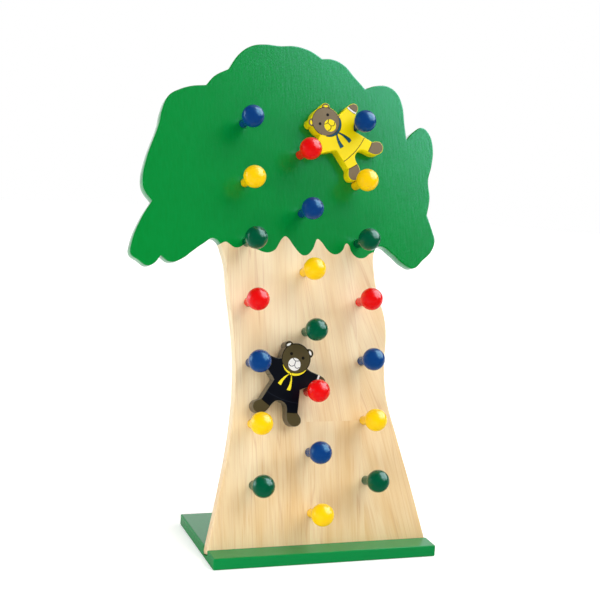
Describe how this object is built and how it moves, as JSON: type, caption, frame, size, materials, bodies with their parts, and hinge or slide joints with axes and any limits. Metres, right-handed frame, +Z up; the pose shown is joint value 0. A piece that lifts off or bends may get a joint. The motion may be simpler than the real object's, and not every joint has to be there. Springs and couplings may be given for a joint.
{
  "type": "wooden tumbling toy",
  "caption": "Leaning wooden tree on a flat base with ball-ended pegs, down which two flat wooden bears tumble from peg to peg.",
  "frame": {"origin": "middle of the base plate's underside", "axes": "+Z up, the toy's front with its pegs towards -Y, +X to the right as seen from the front"},
  "size_m": [0.4238, 0.2427, 0.6452],
  "materials": {
    "base_green_paint": "satin green paint",
    "tree_wood_and_foliage_paint": "green foliage paint over the crown, clear-lacquered pale wood on the trunk",
    "blue_lacquer": "gloss lacquer",
    "red_lacquer": "gloss lacquer",
    "yellow_lacquer": "gloss lacquer",
    "dark_green_lacquer": "gloss lacquer",
    "yellow_bear_paint": "satin paint with printed front",
    "navy_bear_paint": "satin paint with printed front",
    "zinc_plated_steel": "zinc plated"
  },
  "bodies": {
    "tree": {"base_plate": "base_green_paint", "tree_board": "tree_wood_and_foliage_paint", "dowel_01_left": "blue_lacquer", "dowel_01_right": "blue_lacquer", "dowel_02_centre": "red_lacquer", "dowel_03_left": "yellow_lacquer", "dowel_03_right": "yellow_lacquer", "dowel_04_centre": "blue_lacquer", "dowel_05_left": "dark_green_lacquer", "dowel_05_right": "dark_green_lacquer", "dowel_06_centre": "yellow_lacquer", "dowel_07_left": "red_lacquer", "dowel_07_right": "red_lacquer", "dowel_08_centre": "dark_green_lacquer", "dowel_09_left": "blue_lacquer", "dowel_09_right": "blue_lacquer", "dowel_10_centre": "red_lacquer", "dowel_11_left": "yellow_lacquer", "dowel_11_right": "yellow_lacquer", "dowel_12_centre": "blue_lacquer", "dowel_13_left": "dark_green_lacquer", "dowel_13_right": "dark_green_lacquer", "dowel_14_centre": "yellow_lacquer", "ball_01_left": "blue_lacquer", "ball_01_right": "blue_lacquer", "ball_02_centre": "red_lacquer", "ball_03_left": "yellow_lacquer", "ball_03_right": "yellow_lacquer", "ball_04_centre": "blue_lacquer", "ball_05_left": "dark_green_lacquer", "ball_05_right": "dark_green_lacquer", "ball_06_centre": "yellow_lacquer", "ball_07_left": "red_lacquer", "ball_07_right": "red_lacquer", "ball_08_centre": "dark_green_lacquer", "ball_09_left": "blue_lacquer", "ball_09_right": "blue_lacquer", "ball_10_centre": "red_lacquer", "ball_11_left": "yellow_lacquer", "ball_11_right": "yellow_lacquer", "ball_12_centre": "blue_lacquer", "ball_13_left": "dark_green_lacquer", "ball_13_right": "dark_green_lacquer", "ball_14_centre": "yellow_lacquer", "base_screw_1": "zinc_plated_steel", "base_screw_2": "zinc_plated_steel", "base_screw_3": "zinc_plated_steel"},
    "yellow_bear": {"yellow_bear": "yellow_bear_paint"},
    "navy_bear": {"navy_bear": "navy_bear_paint"}
  },
  "joints": [
    {"name": "yellow_bear_swing", "type": "hinge", "parent": "tree", "child": "yellow_bear", "pos_m": [0.067, 0.09605, 0.54177], "axis": [0, -0.9613, 0.2756], "range_deg": [-90, 0]},
    {"name": "navy_bear_swing", "type": "hinge", "parent": "tree", "child": "navy_bear", "pos_m": [-0.01, -0.001, 0.2033], "axis": [0, -0.9613, 0.2756], "range_deg": [-24, 0]}
  ]
}
